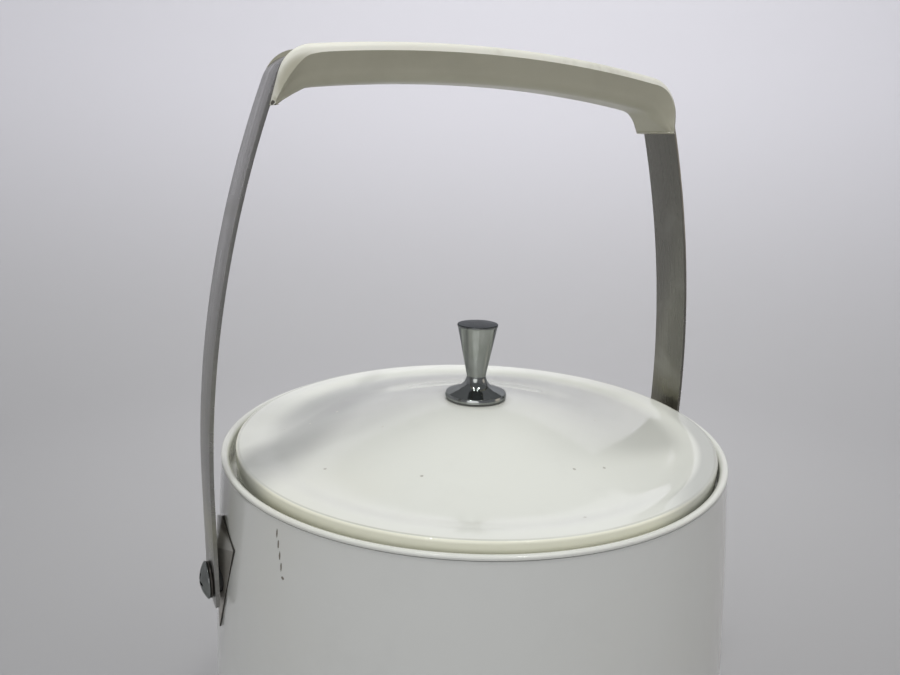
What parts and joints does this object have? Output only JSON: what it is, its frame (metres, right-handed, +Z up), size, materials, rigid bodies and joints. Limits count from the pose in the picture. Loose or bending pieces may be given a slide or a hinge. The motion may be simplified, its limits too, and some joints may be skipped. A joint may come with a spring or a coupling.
{
  "type": "ice bucket",
  "caption": "Insulated round ice bucket with a lift-off domed lid, a trumpet knob and a folding flat-strap handle with a moulded grip.",
  "frame": {"origin": "on the surface that the bucket stands on, under the middle of the bucket", "axes": "+Z up; X along the handle's pivot axis, +X towards the right pivot; the handle leans slightly towards -Y"},
  "size_m": [0.2256, 0.2158, 0.3393],
  "materials": {
    "shell_white": "gloss",
    "liner_white": "gloss",
    "lid_white": "gloss",
    "grip_ivory": "satin",
    "strap_steel": "brushed",
    "chrome": "polished",
    "dark_steel": "tarnished",
    "inner_steel": "zinc plated",
    "black_nylon": "matte",
    "base_grey": "matte",
    "foot_rubber": "matte",
    "foam": "expanded foam"
  },
  "bodies": {
    "bucket": {"outer_shell": "shell_white", "inner_liner": "liner_white", "insulation_foam": "foam", "base_plate": "base_grey", "base_screw_1": "inner_steel", "base_screw_2": "inner_steel", "base_screw_3": "inner_steel", "rubber_foot_1": "foot_rubber", "rubber_foot_2": "foot_rubber", "rubber_foot_3": "foot_rubber", "rubber_foot_4": "foot_rubber", "escutcheon_left": "chrome", "escutcheon_right": "chrome", "pivot_spacer_left": "black_nylon", "pivot_spacer_right": "black_nylon", "pivot_washer_left": "dark_steel", "pivot_washer_right": "dark_steel", "pivot_screw_left": "chrome", "pivot_screw_right": "chrome", "pivot_nut_left": "inner_steel", "pivot_nut_right": "inner_steel", "backing_plate_left": "inner_steel", "backing_plate_right": "inner_steel"},
    "handle": {"handle_strap": "strap_steel", "handle_grip": "grip_ivory"},
    "lid": {"lid_cover": "lid_white", "lid_liner": "liner_white", "lid_foam": "foam", "lid_knob": "chrome", "knob_screw": "inner_steel", "knob_washer": "inner_steel"}
  },
  "joints": [
    {"name": "handle_fold", "type": "hinge", "parent": "bucket", "child": "handle", "pos_m": [0, 0, 0.1483], "axis": [1, 0, 0], "range_deg": [-137, 134]},
    {"name": "lid_lift", "type": "slide", "parent": "bucket", "child": "lid", "axis": [0, 0, 1], "range_m": [0, 0.07]}
  ]
}
